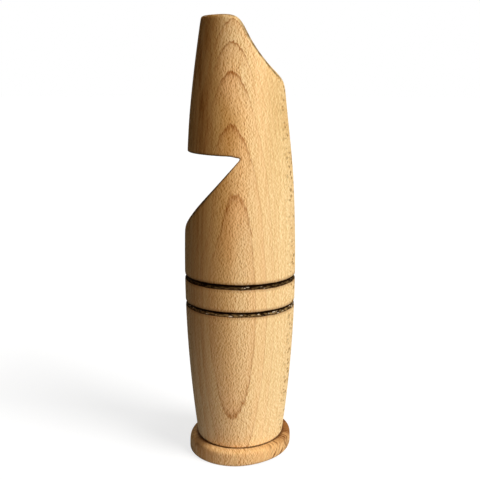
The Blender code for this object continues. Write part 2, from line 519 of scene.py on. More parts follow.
# %% [markdown]
# ## Noise
#
# Nothing in wood repeats, so most of its patterns start from noise. Blender's noise has round grains, and
# dividing the place by a length for each axis stretches them across the grain, in depth and along it. The
# fourth coordinate is a fixed seed, so that each run gives the same wood.

# %% Noise
GRAIN_SEED = 3.7


def noise(place, stretch, seed, detail=2.0):
    """Smooth noise from 0 to 1, with its grains as long along each axis as stretch says, in mm."""
    scaled = add_node(place.tree, "ShaderNodeVectorMath", place, stretch, settings={"operation": "DIVIDE"})
    grains = {"Vector": scaled, "W": seed, "Scale": 1.0, "Detail": detail}
    return add_node(place.tree, "ShaderNodeTexNoise", settings={"noise_dimensions": "4D"}, **grains)


print("grain seed:", GRAIN_SEED)

# %% [markdown]
# ## Growth layers
#
# Wood is a solid pattern: the same growth layers that arch over the front run as stripes down the sides and
# as bands across the end grain. So the pattern is worked out in space, from Object coordinates, and the
# lathe simply cuts it open. An image wrapped round the barrel would show a join and would not reach the
# cuts. The layers are nearly flat sheets that face the front, with a bulge above the belly. Each one ends
# in a thin dark line with a soft warm side. A curve spaces the lines as they are on the front, and the back
# has its own.

# %% Growth layers
LAYER_FACING = (-0.085, -0.996, -0.025)  # the way that the growth layers face
LAYER_CURL = -0.002  # they curl backwards by this much times the square of x
BULGE = (46.0, 55.0, 62.0, 72.0)  # the heights of the bulge
BULGE_CURL = 0.012
BULGE_LEAN = 0.085
WANDER = (16.0, 16.0, 60.0)  # how long the slow waves of the layers are, in mm
WANDER_DEPTH = 0.7
FRAY = (0.35, 2.0, 5.0)  # and the fine teeth along the lines
FRAY_DEPTH = 0.3
# depths in mm, with the number of growth layers down to each
FRONT_LINES = ((5.8, 0.0), (6.6, 1.0), (7.55, 2.0), (9.05, 3.0), (10.375, 4.0), (13.0, 5.8), (16.0, 7.9))
BACK_LINES = (
    (-16.0, -19.0),
    (-14.4, -18.0),
    (-12.9, -17.0),
    (-12.0, -16.0),
    (-11.3, -15.0),
    (-10.7, -14.0),
)
LAYER_SPAN = (-16.0, 16.0)
COUNT_SPAN = (-20.0, 8.0)


def share_of(value, span):
    """Where a value lies between the ends of a span: 0 at one and 1 at the other."""
    return (value - span[0]) / (span[1] - span[0])


def layer_count(place):
    """How many growth layers deep a point is."""
    x, y, height = place.parts()
    bulge = height.band(*BULGE)
    depth = x * LAYER_FACING[0] + y * LAYER_FACING[1] + height * LAYER_FACING[2]
    depth = depth + x * x * (LAYER_CURL - bulge * BULGE_CURL) + x * bulge * BULGE_LEAN
    depth = depth + (noise(place, WANDER, GRAIN_SEED) - 0.5) * WANDER_DEPTH
    depth = depth + (noise(place, FRAY, GRAIN_SEED + 1) - 0.5) * FRAY_DEPTH
    share = add_node(place.tree, "ShaderNodeFloatCurve", Value=depth.ramp(*LAYER_SPAN, smooth=False))
    lines = BACK_LINES + FRONT_LINES
    spots = [(share_of(at, LAYER_SPAN), share_of(count, COUNT_SPAN)) for at, count in lines]
    mapping = share.socket.node.mapping
    points = mapping.curves[0].points
    for point, spot in zip(points, (spots[0], spots[-1])):
        point.location = spot
        point.handle_type = "VECTOR"
    for spot in spots[1:-1]:
        points.new(*spot).handle_type = "VECTOR"
    mapping.update()
    return share * (COUNT_SPAN[1] - COUNT_SPAN[0]) + COUNT_SPAN[0]


print("growth lines placed:", len(FRONT_LINES), "in front and", len(BACK_LINES), "behind")

# %% [markdown]
# ## Growth lines
#
# On the front the lines are darkest at the top of each arch and fade along its arms. The fibres break them
# up, and they get stronger towards the mouth. The right arms up there are fainter, and so are the last arch
# and, a little, the long one above the belly. All of that is a few ramps of the height and of the distance
# from the middle, multiplied together.

# %% Growth lines
LINE_CORE = (0.0, 0.1)  # parts of a layer, counted from the line inwards
LINE_TAIL = (0.0, 0.22)
LINE_GLOW = (0.0, 0.9)
LINE_OUTER = (0.97, 1.0)
CORE_SHARE = 0.75
ARCH_WIDTH = (1.6, 5.0, 1.0, 0.3)  # by the distance from the middle
TEETH = (0.4, 1.5, 1.5)
TEETH_DEPTH = (0.3, 0.65, 0.7, 1.15)
RIGHT_ARM = (1.2, 3.2)
RIGHT_ARM_FADE = (74.0, 78.0, 0.0, 0.6)  # this and the rest are by height
LONG_ARCH_START = (40.0, 46.0)
LONG_ARCH_FADE = (62.0, 68.0, 0.12, 0.0)
NEAR_MOUTH = (78.0, 92.0, 1.0, 1.5)
LAST_ARCH = (91.0, 95.0, 1.0, 0.7)


def growth_lines(grain):
    """1 on a growth line, sharp on its outer side, and the slow warm glow on its inner side."""
    across, _, height = grain.parts()
    since = layer_count(grain).math("FRACT")
    core = since.fade(*LINE_CORE) + since.ramp(*LINE_OUTER)
    line = (core * CORE_SHARE + since.fade(*LINE_TAIL) * (1.0 - CORE_SHARE)).smallest(1.0)
    line = line * across.math("ABSOLUTE").ramp(*ARCH_WIDTH)
    line = line * noise(grain, TEETH, GRAIN_SEED + 13).ramp(*TEETH_DEPTH)
    line = line * (1.0 - height.ramp(*RIGHT_ARM_FADE) * across.ramp(*RIGHT_ARM))
    line = line * (1.0 - height.ramp(*LONG_ARCH_START) * height.ramp(*LONG_ARCH_FADE))
    line = line * height.ramp(*NEAR_MOUTH) * height.ramp(*LAST_ARCH)
    return line, since.fade(*LINE_GLOW)


print("arches fade from", ARCH_WIDTH[0], "to", ARCH_WIDTH[1], "mm off the middle")

# %% [markdown]
# ## Rays and fibres
# Beech is known by its rays: thin ribbons that run from the bark inwards. Seen end on, at the front, they
# are short dark dashes along the grain. Seen from the side they are flecks. Voronoi cells, stretched along
# the way that the layers face, give both. Fibres are fine ridges that catch the light on one flank, which
# is the difference between a noise and the same noise moved aside. A bump alone would be too fine to show
# here, so their lit and shaded flanks are painted into the colour as well.

# %% Rays and fibres
SMALLEST = 0.35  # how large the smallest spindle is, to which each adds its own chance
DARK_SHARE = 0.45  # the part of a spindle that is dark all over
RAGGED_SHARE = 0.3  # how fine the ragged edge is against the cell


def cells(place, stretch, seed):
    """Stretched cells: the distance from the middle of the nearest one, and its own chance from 0 to 1."""
    shift = (seed, seed, seed)
    scale = [1.0 / length for length in stretch]
    scaled = add_node(place.tree, "ShaderNodeMapping", Vector=place, Location=shift, Scale=scale)
    nearest = add_node(place.tree, "ShaderNodeTexVoronoi", Vector=scaled, Scale=1.0)
    return nearest.sibling("Distance"), nearest.sibling("Color").parts()[0]


def rays(place, stretch, seed, size, ragged=0.0):
    """Dark spindles of uneven size, one in each cell: 1 in the middle of one and 0 outside."""
    distance, chance = cells(place, stretch, seed)
    if ragged:
        fine = [length * RAGGED_SHARE for length in stretch]
        distance = distance + (noise(place, fine, seed) - 0.5) * ragged
    return (distance / (SMALLEST + chance)).fade(size * DARK_SHARE, size)


def ridges(place, stretch, seed, gap):
    """Fine ridges lit from one side: about 0, above it on one flank and below it on the other."""
    beside = add_node(place.tree, "ShaderNodeMapping", Vector=place, Location=(gap, 0.0, 0.0))
    return noise(place, stretch, seed, detail=1.0) - noise(beside, stretch, seed, detail=1.0)


print("spindles are dark over", DARK_SHARE, "of their size")

# %% [markdown]
# ## Patterns of the wood
#
# Six patterns make the bare wood. Mottling and streaks are slow changes of tone along the grain. Fibres and
# a braid of fine cells give the front its texture. Dashes and flecks are the rays, seen end on and from the
# side. They differ mostly in how far each is stretched, so their sizes stand side by side here.

# %% Patterns of the wood
MOTTLE = (7.0, 7.0, 26.0)  # these are lengths across, in depth and along the grain, in mm
STREAKS = (0.7, 1.0, 30.0)
FIBRES = (0.2, 1.2, 0.5)
DASHES = (0.5, 6.0, 1.3)
BRAID = (0.27, 6.0, 0.8)
FLECKS = (0.8, 1.9, 0.9)
FIBRE_GAP = 0.27  # how far aside a ridge falls off, in mm
DASH_SIZE = 0.3  # these two are against the cell
FLECK_SIZE = 0.43
FLECK_RAGGED = 0.35


def wood_patterns(grain):
    """Mottling, streaks, fibres, dashes, braid and flecks."""
    mottle = noise(grain, MOTTLE, GRAIN_SEED + 2)
    streaks = noise(grain, STREAKS, GRAIN_SEED + 3, detail=3.0)
    fibres = ridges(grain, FIBRES, GRAIN_SEED + 4, FIBRE_GAP)
    dashes = rays(grain, DASHES, GRAIN_SEED + 5, DASH_SIZE)
    braid = cells(grain, BRAID, GRAIN_SEED + 9)[0] - 0.5
    flecks = rays(grain, FLECKS, GRAIN_SEED + 6, FLECK_SIZE, FLECK_RAGGED)
    return mottle, streaks, fibres, dashes, braid, flecks


print("streaks are", STREAKS[2], "mm long and fibres", FIBRES[2], "mm")

# %% [markdown]
# ## Laying one colour over another
#
# A finish is built as a painter builds one: a ground colour first, then glazes. The Mix node is the brush,
# and its factor says how much of the upper colour is taken. With "MULTIPLY" the upper colour is a stain
# that lets the grain show through. Dark fibres are brown and not grey, so blue has to fall faster than red
# in them.

# %% Laying one colour over another
FIBRE_POWERS = (0.6, 1.0, 1.55)


def mix_colour(factor, under, over, blend="MIX"):
    """Lays one colour over another by a factor from 0 to 1."""
    style = {"data_type": "RGBA", "blend_type": blend}
    node = add_node(factor.tree, "ShaderNodeMix", settings=style).socket.node
    sockets = {socket.identifier: socket for socket in node.inputs}
    plug_in(sockets["Factor_Float"], factor)
    for name, colour in (("A_Color", under), ("B_Color", over)):
        plug_in(sockets[name], colour if isinstance(colour, Wire) else (*colour, 1.0))
    return Wire(next(output for output in node.outputs if output.identifier == "Result_Color"))


def vector(x, y, z):
    """Three wires or numbers as one vector. At least one of them is a wire."""
    tree = next(part.tree for part in (x, y, z) if isinstance(part, Wire))
    return add_node(tree, "ShaderNodeCombineXYZ", x, y, z)


def deepen(colour, tone):
    """Multiplies a colour by a tone around 1, with blue changing fastest."""
    shades = vector(*(tone.math("POWER", power) for power in FIBRE_POWERS))
    return add_node(colour.tree, "ShaderNodeVectorMath", colour, shades, settings={"operation": "MULTIPLY"})


def tinted(colour, tint):
    """One plain colour times another."""
    return tuple(part * share for part, share in zip(colour, tint))


print("dark fibres take red, green and blue to the powers", FIBRE_POWERS)

# %% [markdown]
# ## Bare wood
#
# One function makes the wood of all three pieces, because they are the same kind of wood from different
# blanks. It lays the colours from the palest up: the ground, the growth lines, the dashes, the flecks and
# the fibres. The dashes show where the rays are seen end on, and the flecks where the skin faces sideways.
# The flecks are kept fainter on the window's side, where painted shade already darkens the wood. The same
# patterns go to a very shallow bump, so that rays and lines are felt as well as seen.

# %% Bare wood
PALE = (0.87, 0.645, 0.325)
WARM = (0.82, 0.52, 0.25)
LINE = (0.46, 0.22, 0.07)
RAY = (0.50, 0.28, 0.10)
FLECK = (0.26, 0.115, 0.014)
MOTTLED = (0.3, 0.75, 0.0, 0.25)
GLOW_WARMTH = 0.36
LINE_STREAKS = 0.7  # how much the streaks break the growth lines up
LINE_STRENGTH = 0.6
DASH_STRENGTH = 0.4
STREAK_DEPTH = 0.9
FIBRE_SHADING = 1.68
BRAID_DEPTH = 0.38
HEAD_ON_LEFT = (-7.0, -2.5, 0.3, 1.0)  # these are by the distance across
HEAD_ON_RIGHT = (1.5, 5.0, 1.0, 0.43)
STREAKY_SIDE = (-9.0, -3.0, 1.6, 0.3)
FLECK_STRENGTH = (-8.0, 8.0, 0.45, 0.8)
STREAKY_UP = (45.0, 75.0, 0.7, 1.7)  # by height
SIDEWAYS = (0.82, 0.97)  # by how squarely the skin faces sideways
BRIGHTEST = 1.25  # no fibre is brighter than this against the ground
FIBRE_RELIEF = 0.015  # these are heights and depths in mm
DASH_RELIEF = 0.015
FLECK_RELIEF = 0.006
LINE_RELIEF = 0.01


def facing(tree):
    """How much the surface faces along x, y and z."""
    return add_node(tree, "ShaderNodeNewGeometry").sibling("Normal").parts()


def bare_wood(grain, tint, lines=1.0, turned=1.0):
    """The wood's colour, the relief of its pattern in mm, and its streaks."""
    across, _, height = grain.parts()
    line, glow = growth_lines(grain)
    line = line * lines
    mottle, streaks, fibres, dashes, braid, flecks = wood_patterns(grain)
    flecks = flecks * turned
    head_on = across.ramp(*HEAD_ON_LEFT) * across.ramp(*HEAD_ON_RIGHT) * turned
    side_on = facing(grain.tree)[0].math("ABSOLUTE").ramp(*SIDEWAYS)
    streaky = across.ramp(*STREAKY_SIDE) * height.ramp(*STREAKY_UP)
    warmth = (mottle.ramp(*MOTTLED) + glow * GLOW_WARMTH).smallest(1.0)
    colour = mix_colour(warmth, tinted(PALE, tint), tinted(WARM, tint))
    drawn = (line * (streaks * LINE_STREAKS + LINE_STRENGTH)).smallest(1.0)
    colour = mix_colour(drawn, colour, tinted(LINE, tint))
    colour = mix_colour(dashes * head_on * DASH_STRENGTH, colour, tinted(RAY, tint))
    colour = mix_colour(flecks * side_on * across.ramp(*FLECK_STRENGTH), colour, tinted(FLECK, tint))
    tone = 1.0 + (streaks - 0.5) * streaky * STREAK_DEPTH
    # the fibres' lit and shaded flanks are painted light and shade in the tone
    tone = tone + (fibres * FIBRE_SHADING + braid * BRAID_DEPTH) * head_on
    colour = deepen(colour, tone.smallest(BRIGHTEST))
    relief = fibres * FIBRE_RELIEF - dashes * DASH_RELIEF - flecks * FLECK_RELIEF - line * LINE_RELIEF
    return colour, relief, streaks


print("beech is mixed from", len((PALE, WARM, LINE, RAY, FLECK)), "colours")

# %% [markdown]
# ## From colour to finish
#
# A finish starts as an empty material that reads the point in millimetres, and ends when the colour, the
# roughness and the bump reach the shader. End grain drinks more oil than long grain and looks darker, so
# faces that look up or down are stained. Oiled beech that has been handled for years is nearly matt, so the
# gloss is a small constant on the shader itself, and the streaks move the roughness only a little.

# %% From colour to finish
BUMP = 0.4
GLOSS = 0.005
STREAKS_IN_ROUGHNESS = 0.2
END_GRAIN = (0.42, 0.24, 0.10)
END_GRAIN_FACING = (0.75, 0.98, 0.0, 0.55)


def start_finish(name):
    """An empty material, and the point in mm on Object coordinates."""
    material = bpy.data.materials.new(name)
    material.use_nodes = True
    tree = material.node_tree
    metres = add_node(tree, "ShaderNodeTexCoord").sibling("Object")
    place = add_node(tree, "ShaderNodeVectorMath", metres, settings={"operation": "SCALE"}, Scale=1.0 / MM)
    return material, place


def turned_grain(place, turn, shift):
    """The point as another blank saw it, which was turned about its length and shifted."""
    return add_node(place.tree, "ShaderNodeMapping", Vector=place, Location=shift, Rotation=turn)


def end_grain(colour):
    """Stains the faces that look up or down."""
    steep = facing(colour.tree)[2].math("ABSOLUTE")
    return mix_colour(steep.ramp(*END_GRAIN_FACING), colour, END_GRAIN)


def finish_wood(material, colour, roughness, relief, gloss=GLOSS):
    """Links the colour, the roughness and the bump to the shader."""
    tree = material.node_tree
    shader = tree.nodes["Principled BSDF"]
    plug_in(shader.inputs["Base Color"], colour)
    plug_in(shader.inputs["Roughness"], roughness)
    shader.inputs["Specular IOR Level"].default_value = gloss
    bump = add_node(tree, "ShaderNodeBump", Height=relief, Distance=MM, Strength=BUMP)
    plug_in(shader.inputs["Normal"], bump)
    print(material.name, "has", len(tree.nodes), "nodes")


def roughness_of(base, streaks):
    """A roughness that follows the streaks a little."""
    return base + (streaks - 0.5) * STREAKS_IN_ROUGHNESS


print("gloss of the wood:", GLOSS)

# %% [markdown]
# ## Painted shade and stains by place
#
# The window's side, away from the light, is darkened with painted shade, most of all near the mouth, and
# a thumb mark darkens the other side. The heart of the arches is a little redder, and the far right a
# little cooler. Each of these multiplies the colour, and each is placed by ramps of x and of the height.

# %% Painted shade and stains by place
SHADE_AND_THUMB_STAIN = (0.73, 0.63, 0.45)
FLUSH = (1.02, 0.925, 0.84)
COOL = (0.93, 0.965, 0.98)
SHADE_UP = (-8.0, 70.0)  # by height
SHADE_SIDE = (-3.5, 1.0)  # by x, and the next two move it by height
SIDE_AT_WINDOW = (66.0, 72.0, -0.4, -1.6)
SIDE_AT_MOUTH = (75.0, 86.0, 0.0, 3.4)
THUMB_UP = (60.0, 75.0)
THUMB_SIDE = (4.5, 8.5, 0.0, 0.4)
FLUSH_START = (43.0, 50.0, 0.4, 1.0)
FLUSH_END = (87.0, 93.0)
FLUSH_LEFT = (-5.0, -1.5)
FLUSH_RIGHT = (-1.0, 2.0)
FLUSH_WIDER = (50.0, 62.0, 0.0, 2.0)
FLUSH_NARROWER = (78.0, 84.0)
COOL_SIDE = (4.0, 8.0)


def shaded_and_stained(place, colour):
    """Painted shade on the window's side, a thumb mark, a redder heart and a cooler right side."""
    x, _, along = place.parts()
    from_side = x + along.ramp(*SIDE_AT_WINDOW) + along.ramp(*SIDE_AT_MOUTH)
    shade_and_thumb = along.ramp(*SHADE_UP) * from_side.fade(*SHADE_SIDE)
    shade_and_thumb = shade_and_thumb + along.ramp(*THUMB_UP) * x.ramp(*THUMB_SIDE)
    # painted shade on the window's side, away from the light, and a darker thumb patch on the other side
    colour = mix_colour(shade_and_thumb, colour, SHADE_AND_THUMB_STAIN, "MULTIPLY")
    wider = along.ramp(*FLUSH_WIDER) * along.fade(*FLUSH_NARROWER)
    flushed = along.ramp(*FLUSH_START) * along.fade(*FLUSH_END)
    flushed = flushed * x.ramp(*FLUSH_LEFT) * (x - wider).fade(*FLUSH_RIGHT)
    colour = mix_colour(flushed, colour, FLUSH, "MULTIPLY")
    return mix_colour(x.ramp(*COOL_SIDE), colour, COOL, "MULTIPLY")


print("handled wood keeps", SHADE_AND_THUMB_STAIN, "of its red, green and blue")

# %% [markdown]
# ## Dark edges
#
# A dark line runs along the edges of the window, the mouth and the beak. On the ramp, the shelf and the
# mouth's rim it is painted shade, where these faces turn away from the light; along the beak the edge is
# simply drawn darker. The mark "cut" gives the distance from each edge, so a ramp of it draws a line along
# all of them at once. A line that is even all round looks drawn, so a noise breaks it up in places. It is
# wide on the ramp and at the lip, and weak at the window's root and on the beak's heel. A pointiness input
# finds edges too, but what it finds depends on how fine the mesh is.

# %% Dark edges
DARK_EDGE = (0.075, 0.042, 0.012)
EDGE_REACH = 0.3  # how far the dark line reaches onto the skin, in mm
RAMP_REACH = (-9.0, -1.0, 0.45, 0.0)  # and how much farther, by x below the shelf
BELOW_SHELF = (69.2, 69.8)
BEAK_REACH = 0.2
BEAK_UP = (83.0, 86.0)
BEAK_SIDE = (0.5, 3.5)
LIP_REACH = 0.45
LIP_FACE = 0.8
LIP_UP = (92.0, 95.0)
LIP_SIDE = (-1.0, 1.5)
CUT_REACH = (0.2, 0.9)  # where the dark line ends on the cut face
EDGE_BREAK_SIZE = (1.6, 1.6, 1.6)
EDGE_BREAKS = (0.35, 0.55, 0.55, 1.0)
ROOT_UP = (64.0, 68.0, 72.0, 72.5)
ROOT_SIDE = (-1.5, 0.3, 0.0, 0.65)
HEEL_UP = (80.0, 82.0)
HEEL_SIDE = (5.0, 8.0, 0.0, 0.6)
HEEL_WIDTH = (1.5, 5.0)
EDGE_STRENGTH = (69.6, 72.0, 0.9, 0.65)  # by height, on the ramp and above it
BEAK_STRENGTH = 0.3


def dark_edges(place, cut):
    """How dark the edge line is, from 0 to 1: painted shade at the window and the rim, a darker beak edge.
    """
    x, y, along = place.parts()
    beak = along.ramp(*BEAK_UP) * x.ramp(*BEAK_SIDE)
    lip = along.ramp(*LIP_UP) * x.ramp(*LIP_SIDE)
    reach = EDGE_REACH + x.ramp(*RAMP_REACH) * along.fade(*BELOW_SHELF)
    reach = reach + beak * BEAK_REACH + lip * LIP_REACH
    edge = (cut / reach).ramp(-1.0, 0.0) * (cut - lip * LIP_FACE).fade(*CUT_REACH)
    patchy = noise(place, EDGE_BREAK_SIZE, GRAIN_SEED + 14).ramp(*EDGE_BREAKS)
    root = along.band(*ROOT_UP) * x.ramp(*ROOT_SIDE)
    heel = along.ramp(*HEEL_UP) * x.ramp(*HEEL_SIDE) * y.math("ABSOLUTE").fade(*HEEL_WIDTH)
    edge = edge * patchy * (1.0 - root) * (1.0 - heel)
    return edge * (along.ramp(*EDGE_STRENGTH) + beak * BEAK_STRENGTH)


# the reach of the dark edge line, which is partly painted shade
print("dirt reaches", EDGE_REACH, "mm onto the skin")

# %% [markdown]
# ## Burnt lines
#
# A wire held against the spinning barrel scorches a groove: black in the middle, brown beside it. Its lower
# ledge faces up, so painted light turns it brown in patches and adds pale painted glints, more in the lower
# line than in the upper one.
# Both lines are one rule, because the distance from the nearer line is the distance from the middle between
# them with half the pitch taken off. Painted stripes would end sharply, so a noise moves the edge.

# %% Burnt lines
CHAR = (0.009, 0.003, 0.0005)
# this colour and the pale one below are painted light: the lit lower ledge of each groove and glints on it
LEDGE_LIGHT = (0.27, 0.18, 0.075)
GLINT = (0.70, 0.62, 0.48)
SCORCH = (0.22, 0.085, 0.025)
WOBBLE_SIZE = (2.2, 2.2, 2.2)
WOBBLE = 0.3
CHAR_WIDTH = (0.50, 0.68)  # these three are distances from the line, in mm
SCORCH_WIDTH = (0.55, 1.4, 0.5, 0.0)
LEDGE = (-0.55, -0.35, -0.05, 0.15)
BETWEEN_LINES = (38.0, 39.5)  # by height
LEDGE_LIGHT_SIZE = (0.7, 0.7, 0.25)
LEDGE_LIGHT_SHARE = (0.35, 0.7)
LEDGE_LIGHT_LINES = (1.0, 0.4)  # in the lower line and in the upper one
GLINT_SIZE = (1.3, 1.3, 0.5)
GLINT_GRAIN = 0.42
GLINT_PATCHES = (2.4, 2.4, 2.4)
GLINT_SHARE = (0.53, 0.7)
GLINTY_LINES = (0.26, 0.0)
GLINT_STRENGTH = 0.95


def burn(place, colour):
    """Burns the two lines in. Returns the colour, how charred a point is, and where the painted glints lie.
    """
    along = place.parts()[2]
    middle = BURN_TOP - BURN_PITCH / 2
    above_line = along - middle - (along - middle).math("SIGN") * (BURN_PITCH / 2)
    wobble = (noise(place, WOBBLE_SIZE, GRAIN_SEED + 7, detail=3.0) - 0.5) * WOBBLE
    away = (above_line + wobble).math("ABSOLUTE")
    char = away.fade(*CHAR_WIDTH)
    ledge = above_line.band(*LEDGE)
    patches = noise(place, GLINT_PATCHES, GRAIN_SEED + 12) + along.ramp(*BETWEEN_LINES, *GLINTY_LINES)
    # painted glints on the lower ledge, which faces up
    glints = rays(place, GLINT_SIZE, GRAIN_SEED + 8, GLINT_GRAIN) * ledge * patches.ramp(*GLINT_SHARE)
    # painted light on the lower ledge, brown in patches
    patchy = noise(place, LEDGE_LIGHT_SIZE, GRAIN_SEED + 10).ramp(*LEDGE_LIGHT_SHARE)
    patchy = patchy * ledge * along.ramp(*BETWEEN_LINES, *LEDGE_LIGHT_LINES)
    line_colour = mix_colour(patchy, CHAR, LEDGE_LIGHT)
    line_colour = mix_colour(glints * GLINT_STRENGTH, line_colour, GLINT)
    colour = mix_colour(away.ramp(*SCORCH_WIDTH), colour, SCORCH)
    return mix_colour(char, colour, line_colour), char, glints


print("burnt lines at heights", BURN_TOP, "and", round(BURN_TOP - BURN_PITCH, 2), "mm")

# %% [markdown]
# ## The barrel's finish
#
# Now the layers go on one over another: bare wood, the stains and painted shade placed by x and height, end
# grain, the dark edges, the painted shade in the joint above the foot, and the burnt lines last, because
# char hides all the others. On cut faces the fine texture is held back, because a saw and a file leave the
# fibres flat. Charred wood is rougher and has lost its relief, apart from the painted glints on it.

# %% The barrel's finish
CUT_TEXTURE = (-0.2, 0.2, 1.0, 0.15)  # by the distance from the edge of a cut
SEAM_SHADE = (0.25, 0.11, 0.04)
SEAM_SHADE_HEIGHTS = (3.65, 4.0, 0.5, 0.0)
BARREL_ROUGHNESS = 0.6
CHAR_ROUGHNESS = 0.3
GLINT_RELIEF = 0.08
UNTINTED = (1.0, 1.0, 1.0)

barrel_wood, place = start_finish("beech_barrel")
cut = add_node(place.tree, "ShaderNodeAttribute", settings={"attribute_name": "cut"}).sibling("Fac")
colour, relief, streaks = bare_wood(place, UNTINTED, turned=cut.ramp(*CUT_TEXTURE))
colour = end_grain(shaded_and_stained(place, colour))
# the dark edge line: painted shade at the window and the rim, and a darker edge along the beak
colour = mix_colour(dark_edges(place, cut), colour, DARK_EDGE)
x, y, along = place.parts()
# painted shade in the joint, along the barrel's lower edge over the foot
colour = mix_colour((along - askew(x, y)).ramp(*SEAM_SHADE_HEIGHTS), colour, SEAM_SHADE)
colour, char, glints = burn(place, colour)
roughness = roughness_of(BARREL_ROUGHNESS, streaks) + char * CHAR_ROUGHNESS
relief = relief * (1.0 - char) + char * glints * GLINT_RELIEF
finish_wood(barrel_wood, colour, roughness, relief)

# %% [markdown]
# ## The plug's finish
#
# The plug came from a dowel of the same wood, a little darker and with its layers turned another way, so
# its oval stands out on the beak. Mapping turns and shifts the pattern, which is quicker than a second
# pattern.

# %% The plug's finish
DOWEL_TINT = (0.9, 0.86, 0.8)
DOWEL_TURN = (0.0, 0.0, math.radians(65))
DOWEL_SHIFT = (21.0, 4.0, 37.0)
DOWEL_GLOSS = 0.01

plug_wood, place = start_finish("beech_plug")
colour, relief, streaks = bare_wood(turned_grain(place, DOWEL_TURN, DOWEL_SHIFT), DOWEL_TINT)
finish_wood(plug_wood, end_grain(colour), roughness_of(BARREL_ROUGHNESS, streaks), relief, DOWEL_GLOSS)

# %% [markdown]
# ## Soaked ends and painted shadow of the foot
#
# Where the foot's rounded top turns towards the beak's side, end grain comes to the surface. There it has
# soaked up oil and gone dark. On the window's side and at the back the top is darkened with painted shadow,
# where the barrel shades it. How far round to the side a point is follows from x and the distance from the
# axis. Facing up is read from the normal, so that the rim below stays paler.

# %% Soaked ends and painted shadow of the foot
SIDE_STAIN = (0.93, 0.88, 0.83)
SHADOW_AND_SOAKED_COLOURS = ((0.20, 0.11, 0.045), (0.22, 0.095, 0.026))  # painted shadow at the window's side, and soaked end grain at the beak's side
SIDE_STAIN_START = (0.25, 0.8)  # this and the next two are by how far round to the side a point is
LEFT_SHADOW = (0.5, 0.8, 0.0, 0.75)
RIGHT_SOAKED = (0.65, 0.92, 0.0, 0.62)
LEFT_TO_RIGHT = (-6.0, 6.0)
LEFT_RIM = (-10.6, -9.4, 0.5, 1.0)
BACK_SHADOW = (-3.0, 2.0, 0.0, 0.45)
TOP_FACING = (0.0, 0.6)


def shadow_and_soaked_ends(place, colour):
    """Stains the foot's sides, darkens the oiled end grain on the beak's side, and paints shadow on the
    top.
    """
    x, y, _ = place.parts()
    to_side = x.math("ABSOLUTE") / (x * x + y * y).math("SQRT")
    colour = mix_colour(to_side.ramp(*SIDE_STAIN_START), colour, SIDE_STAIN, "MULTIPLY")
    right = x.ramp(*LEFT_TO_RIGHT)
    # painted shadow of the barrel on the window's side and at the back, soaked end grain on the beak's side
    shadow_and_soaked = to_side.ramp(*LEFT_SHADOW) * x.ramp(*LEFT_RIM) * (1.0 - right)
    shadow_and_soaked = shadow_and_soaked + to_side.ramp(*RIGHT_SOAKED) * right + y.ramp(*BACK_SHADOW)
    shadow_and_soaked = shadow_and_soaked * facing(place.tree)[2].ramp(*TOP_FACING)
    return mix_colour(shadow_and_soaked.smallest(1.0), colour, mix_colour(right, *SHADOW_AND_SOAKED_COLOURS))


print("soaked wood goes down to", min(map(min, SHADOW_AND_SOAKED_COLOURS)), "in blue")

# %% [markdown]
# ## Strokes and painted crease shade of the foot
#
# On the beak's side dark strokes show, which are rays cut at a slant. They follow the rim, so their noise
# is laid out along the way round it, and a little of the height is taken off to slant them. The crease
# under the barrel is darkened with painted shade, wider at the two sides than in front.

# %% Strokes and painted crease shade of the foot
STROKE = (0.13, 0.042, 0.008)
STROKE_SLANT = 0.5
STROKE_SIZE = (0.5, 1.0, 2.6)
STROKE_SHARE = (0.5, 0.62)
STROKE_SIDE = (6.0, 9.0, 0.05, 0.95)
CREASE_SHADE = (0.10, 0.038, 0.01)
CREASE_EDGE = (9.75, 10.2, 0.85, 0.0)  # by the distance from the axis
CREASE_UP = (2.6, 3.1)
CREASE_RIGHT = (7.0, 10.5, 0.0, 0.4)  # how much wider the crease is, by x
CREASE_LEFT = (-9.5, -6.0, 0.2, 0.0)
CREASE_GRAIN = (1.2, 1.2, 1.2)
CREASE_BREAKS = (0.35, 0.6, 0.6, 1.0)


def strokes_and_crease(place, colour):
    """Draws the slanted strokes, and then the painted shade of the crease over them."""
    x, y, along = place.parts()
    around = x.math("ARCTAN2", -y) * FOOT["Flange radius"]
    slanted = vector(around - along * STROKE_SLANT, 0.0, along)
    strokes = noise(slanted, STROKE_SIZE, GRAIN_SEED + 11, detail=1.0).ramp(*STROKE_SHARE)
    colour = mix_colour(strokes * x.ramp(*STROKE_SIDE), colour, STROKE)
    from_axis = (x * x + y * y).math("SQRT")
    # painted shade in the crease under the barrel, wider at the two sides
    crease = (from_axis - (x.ramp(*CREASE_RIGHT) + x.ramp(*CREASE_LEFT))).ramp(*CREASE_EDGE)
    patchy = noise(place, CREASE_GRAIN, GRAIN_SEED + 15).ramp(*CREASE_BREAKS)
    return mix_colour(crease * along.ramp(*CREASE_UP) * patchy, colour, CREASE_SHADE)


print("crease ends", CREASE_EDGE[1], "mm from the axis")

# %% [markdown]
# ## The foot's finish
#
# The foot is redder than the barrel and shows no arches, because it came from another blank with its layers
# turned. So its growth lines are left out, and the rays, the streaks and the fibres stay.

# %% The foot's finish
FOOT_TINT = (0.845, 0.772, 0.70)
FOOT_TURN = (0.0, 0.0, math.radians(-20))
FOOT_SHIFT = (3.0, 2.0, 61.0)
FOOT_ROUGHNESS = 0.55

foot_wood, place = start_finish("beech_foot")
colour, relief, streaks = bare_wood(turned_grain(place, FOOT_TURN, FOOT_SHIFT), FOOT_TINT, lines=0.0)
colour = strokes_and_crease(place, shadow_and_soaked_ends(place, colour))
finish_wood(foot_wood, colour, roughness_of(FOOT_ROUGHNESS, streaks), relief)

# %% [markdown]
# ## The three pieces
#
# Now the rules run. Each new piece stands for its solid, rides on the one rigid body and takes its finish.
# They also go into a collection of their own, because two of the lamps light only them.

